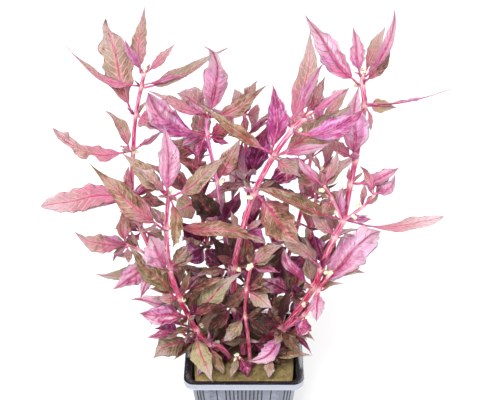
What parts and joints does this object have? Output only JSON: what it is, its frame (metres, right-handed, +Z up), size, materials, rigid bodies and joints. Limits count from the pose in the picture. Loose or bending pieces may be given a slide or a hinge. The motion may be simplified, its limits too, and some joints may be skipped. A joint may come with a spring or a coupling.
{
  "type": "potted aquarium plant",
  "caption": "Bushy red-leaved stem plant with opposite pointed leaves and pink stems, rooted in a fibre plug in a square pot.",
  "frame": {"origin": "middle of the pot's flat underside, where it stands", "axes": "+Z up; the pictured side faces -Y; +X to the right in that view"},
  "size_m": [0.2861, 0.1572, 0.3754],
  "materials": {
    "pot_plastic": "gloss",
    "wool_fibre": "matte",
    "stem_skin": "satin",
    "leaf_blade": "satin"
  },
  "bodies": {
    "root": {"leaf_center_1": "leaf_blade", "leaf_center_2": "leaf_blade", "leaf_center_3": "leaf_blade", "leaf_center_4": "leaf_blade", "leaf_center_5": "leaf_blade", "leaf_center_6": "leaf_blade", "leaf_center_7": "leaf_blade", "leaf_center_back_1": "leaf_blade", "leaf_center_back_2": "leaf_blade", "leaf_center_back_3": "leaf_blade", "leaf_center_back_4": "leaf_blade", "leaf_left_front_1": "leaf_blade", "leaf_left_front_10": "leaf_blade", "leaf_left_front_11": "leaf_blade", "leaf_left_front_2": "leaf_blade", "leaf_left_front_3": "leaf_blade", "leaf_left_front_4": "leaf_blade", "leaf_left_front_5": "leaf_blade", "leaf_left_front_6": "leaf_blade", "leaf_left_front_7": "leaf_blade", "leaf_left_front_8": "leaf_blade", "leaf_left_front_9": "leaf_blade", "leaf_left_shoot_1": "leaf_blade", "leaf_right_1": "leaf_blade", "leaf_right_2": "leaf_blade", "leaf_right_3": "leaf_blade", "leaf_right_4": "leaf_blade", "leaf_right_5": "leaf_blade", "leaf_right_6": "leaf_blade", "leaf_right_7": "leaf_blade", "leaf_right_8": "leaf_blade", "leaf_right_9": "leaf_blade", "leaf_tall_left_1": "leaf_blade", "leaf_tall_left_2": "leaf_blade", "leaf_tall_left_3": "leaf_blade", "leaf_tall_left_4": "leaf_blade", "leaf_tall_left_5": "leaf_blade", "leaf_tall_left_6": "leaf_blade", "leaf_tall_left_7": "leaf_blade", "leaf_tall_left_8": "leaf_blade", "pot": "pot_plastic", "rock_wool": "wool_fibre", "stem_back_left": "stem_skin", "stem_back_middle": "stem_skin", "stem_back_right": "stem_skin", "stem_center": "stem_skin", "stem_center_back": "stem_skin", "stem_far_right_shoot": "stem_skin", "stem_inner_right": "stem_skin", "stem_left_front": "stem_skin", "stem_left_shoot": "stem_skin", "stem_low_center": "stem_skin", "stem_low_front": "stem_skin", "stem_low_left": "stem_skin", "stem_low_middle": "stem_skin", "stem_low_right": "stem_skin", "stem_right": "stem_skin", "stem_right_fork": "stem_skin", "stem_tall_left": "stem_skin", "stem_upper_right_shoot": "stem_skin"}
  },
  "joints": []
}
